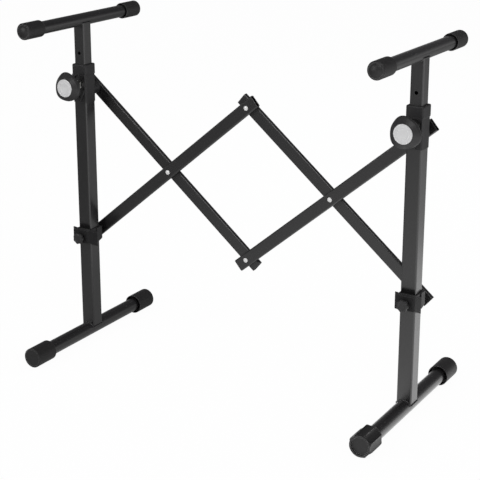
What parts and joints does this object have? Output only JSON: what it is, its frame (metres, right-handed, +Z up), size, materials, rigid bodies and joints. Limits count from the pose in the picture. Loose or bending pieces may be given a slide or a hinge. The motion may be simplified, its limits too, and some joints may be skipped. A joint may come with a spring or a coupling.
{
  "type": "folding keyboard stand",
  "caption": "Folding stand with two square uprights on tubular feet, joined by a flat-bar scissor, with height-adjustable padded cross tubes and front clamp knobs.",
  "frame": {"origin": "on the floor, in the middle between the two feet", "axes": "+X from the left leg to the right leg, -Y to the side of the clamp knobs, +Z up"},
  "size_m": [0.7965, 0.4, 0.6992],
  "materials": {
    "frame_paint": "satin black powder coat on steel tube",
    "cap_rubber": "matte black moulded rubber",
    "moulding": "matte black nylon moulding",
    "knob_plastic": "soft black moulded plastic",
    "zinc": "bright zinc plate",
    "inlay": "satin silver disc, blank"
  },
  "bodies": {
    "left_leg": {"left_foot_tube": "frame_paint", "left_foot_cap_rear": "cap_rubber", "left_upright": "frame_paint", "left_collar": "moulding", "left_clamp_nut": "zinc", "left_upper_stud": "zinc", "left_upper_stud_nut": "zinc", "left_foot_cap_front": "cap_rubber"},
    "left_support": {"left_inner_tube": "frame_paint", "left_inner_plug": "moulding", "left_support_tube": "frame_paint", "left_support_cap_front": "cap_rubber", "left_support_cap_rear": "cap_rubber"},
    "left_clamp": {"left_clamp_knob": "knob_plastic", "left_clamp_disc": "inlay", "left_clamp_screw": "zinc"},
    "left_slider": {"left_slider_body": "moulding", "left_slider_yoke": "frame_paint", "left_slider_nut": "zinc", "left_lower_stud": "zinc", "left_lower_stud_nut": "zinc"},
    "left_slider_lock": {"left_slider_knob": "knob_plastic", "left_slider_screw": "zinc"},
    "right_leg": {"right_foot_tube": "frame_paint", "right_foot_cap_rear": "cap_rubber", "right_upright": "frame_paint", "right_collar": "moulding", "right_clamp_nut": "zinc", "right_upper_stud": "zinc", "right_upper_stud_nut": "zinc"},
    "right_support": {"right_inner_tube": "frame_paint", "right_inner_plug": "moulding", "right_support_tube": "frame_paint", "right_support_cap_front": "cap_rubber", "right_support_cap_rear": "cap_rubber"},
    "right_clamp": {"right_clamp_knob": "knob_plastic", "right_clamp_disc": "inlay", "right_clamp_screw": "zinc"},
    "right_slider": {"right_slider_body": "moulding", "right_slider_yoke": "frame_paint", "right_slider_nut": "zinc", "right_lower_stud": "zinc", "right_lower_stud_nut": "zinc"},
    "right_slider_lock": {"right_slider_knob": "knob_plastic", "right_slider_screw": "zinc"},
    "level_cap": {"right_level_cap": "cap_rubber"},
    "left_falling_bar": {"bar_left_falling": "frame_paint", "left_crossing_rivet": "zinc", "left_crossing_washer": "moulding"},
    "left_rising_bar": {"bar_left_rising": "frame_paint", "top_centre_rivet": "zinc", "top_centre_washer": "moulding"},
    "right_rising_bar": {"bar_right_rising": "frame_paint", "right_crossing_rivet": "zinc", "right_crossing_washer": "moulding", "bottom_centre_rivet": "zinc", "bottom_centre_washer": "moulding"},
    "right_falling_bar": {"bar_right_falling": "frame_paint"}
  },
  "joints": [
    {"name": "fold", "type": "hinge", "parent": "left_leg", "child": "left_falling_bar", "pos_m": [-0.3677, 0.032, 0.538], "axis": [0, 1, 0], "range_deg": [-20, 43]},
    {"name": "left_crossing_pivot", "type": "hinge", "parent": "left_falling_bar", "child": "left_rising_bar", "pos_m": [-0.18385, 0.032, 0.38373], "axis": [0, 1, 0], "range_deg": [-86.5, 40.5]},
    {"name": "bottom_centre_pivot", "type": "hinge", "parent": "left_falling_bar", "child": "right_rising_bar", "pos_m": [0, 0.032, 0.22946], "axis": [0, 1, 0], "range_deg": [-86.5, 40.5]},
    {"name": "right_crossing_pivot", "type": "hinge", "parent": "right_rising_bar", "child": "right_falling_bar", "pos_m": [0.18385, 0.032, 0.38373], "axis": [0, 1, 0], "range_deg": [-40.5, 86.5]},
    {"name": "right_upper_pivot", "type": "hinge", "parent": "right_rising_bar", "child": "right_leg", "pos_m": [0.3677, 0.032, 0.538], "axis": [0, 1, 0], "range_deg": [-20.5, 43.5]},
    {"name": "left_lower_pivot", "type": "hinge", "parent": "left_rising_bar", "child": "left_slider", "pos_m": [-0.3677, 0.032, 0.22946], "axis": [0, 1, 0], "range_deg": [-20.5, 43.5]},
    {"name": "right_lower_pivot", "type": "hinge", "parent": "right_falling_bar", "child": "right_slider", "pos_m": [0.3677, 0.032, 0.22946], "axis": [0, 1, 0], "range_deg": [-43.5, 20.5]},
    {"name": "left_height_slide", "type": "slide", "parent": "left_leg", "child": "left_support", "axis": [0, 0, 1], "range_m": [-0.075, 0.275]},
    {"name": "left_clamp_turn", "type": "hinge", "parent": "left_leg", "child": "left_clamp", "pos_m": [-0.3677, -0.05, 0.553], "axis": [0, 1, 0], "continuous": true},
    {"name": "left_slider_lock_turn", "type": "hinge", "parent": "left_slider", "child": "left_slider_lock", "pos_m": [-0.3677, -0.035, 0.22946], "axis": [0, 1, 0], "continuous": true},
    {"name": "right_height_slide", "type": "slide", "parent": "right_leg", "child": "right_support", "axis": [0, 0, 1], "range_m": [-0.075, 0.275]},
    {"name": "right_clamp_turn", "type": "hinge", "parent": "right_leg", "child": "right_clamp", "pos_m": [0.3677, -0.05, 0.553], "axis": [0, 1, 0], "continuous": true},
    {"name": "right_slider_lock_turn", "type": "hinge", "parent": "right_slider", "child": "right_slider_lock", "pos_m": [0.3677, -0.035, 0.22946], "axis": [0, 1, 0], "continuous": true},
    {"name": "level_cap_turn", "type": "hinge", "parent": "right_leg", "child": "level_cap", "pos_m": [0.3677, -0.174, 0.02025], "axis": [0, 1, 0], "continuous": true}
  ],
  "couplings": [
    {"joint": "left_crossing_pivot", "follows": "fold", "ratio": -2},
    {"joint": "bottom_centre_pivot", "follows": "fold", "ratio": -2},
    {"joint": "right_crossing_pivot", "follows": "fold", "ratio": 2},
    {"joint": "right_upper_pivot", "follows": "fold", "ratio": 1},
    {"joint": "left_lower_pivot", "follows": "fold", "ratio": 1},
    {"joint": "right_lower_pivot", "follows": "fold", "ratio": -1}
  ]
}
